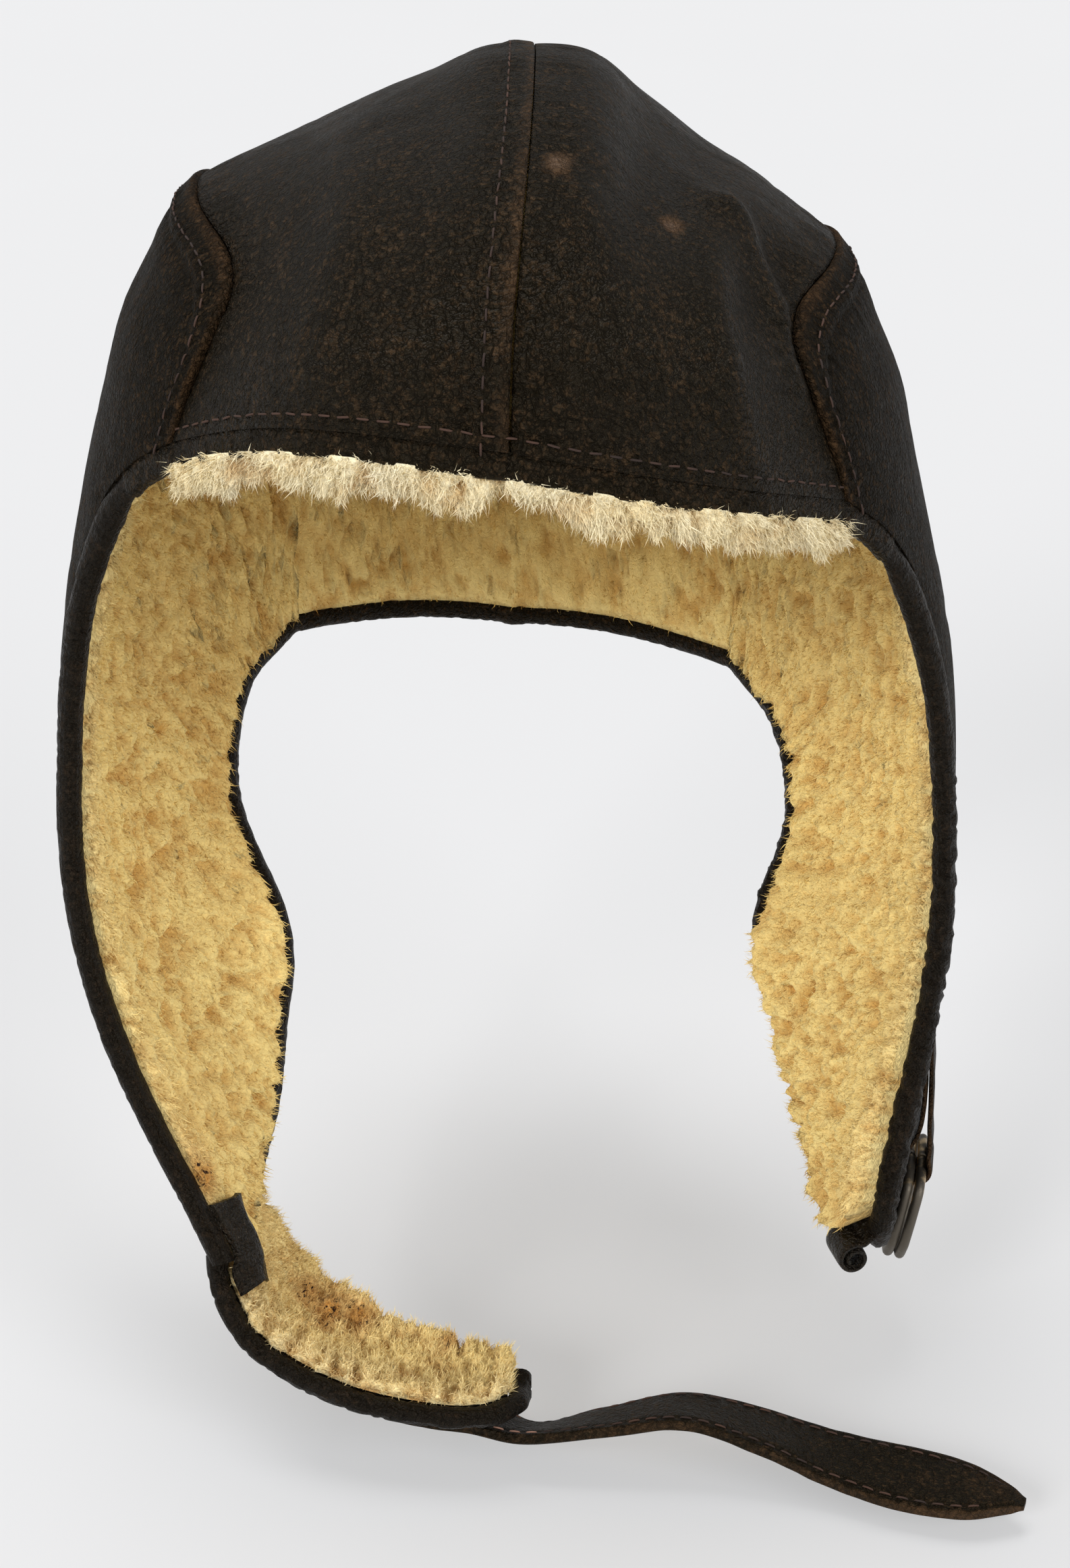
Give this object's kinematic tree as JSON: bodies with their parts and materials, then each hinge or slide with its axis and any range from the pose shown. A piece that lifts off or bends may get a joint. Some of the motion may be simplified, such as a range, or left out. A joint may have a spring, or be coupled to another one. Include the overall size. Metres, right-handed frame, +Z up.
{
  "type": "flying helmet",
  "caption": "Fleece-lined leather flying helmet with long ear flaps, a lined chin band with a pointed strap, and metal rings on a loop.",
  "frame": {"origin": "the seat inside the crown, under the top of the lining, where a head holds the helmet up", "axes": "+Z up, -Y ahead out of the face opening, +X to the right as seen from the front"},
  "size_m": [0.2428, 0.2418, 0.3318],
  "materials": {
    "hide": "worn, softly glossy",
    "rim": "worn, padded and wrinkled",
    "strap": "worn brown",
    "fleece": "deep curly pile",
    "metal": "aged, dull"
  },
  "bodies": {
    "helmet": {"crown_panel_left": "hide", "crown_panel_right": "hide", "side_panel_left": "hide", "side_panel_right": "hide", "brow_hem_left": "hide", "brow_hem_right": "hide", "neck_binding": "hide", "chin_piece": "hide", "face_binding_left": "rim", "rear_binding_left": "rim", "edge_binding_right": "rim", "chin_binding": "rim", "join_patch": "rim", "tab_curl": "rim", "buckle_tab": "rim", "chin_strap": "strap", "crown_fleece_left": "fleece", "crown_fleece_right": "fleece", "side_fleece_left": "fleece", "side_fleece_right": "fleece", "chin_fleece": "fleece"},
    "rings": {"ring_inner": "metal", "ring_outer": "metal"}
  },
  "joints": [
    {"name": "rings_swing", "type": "hinge", "parent": "helmet", "child": "rings", "pos_m": [0.10209, -0.04536, -0.26926], "axis": [-0.1662, -0.9861, 0], "range_deg": [-2, 60]}
  ]
}
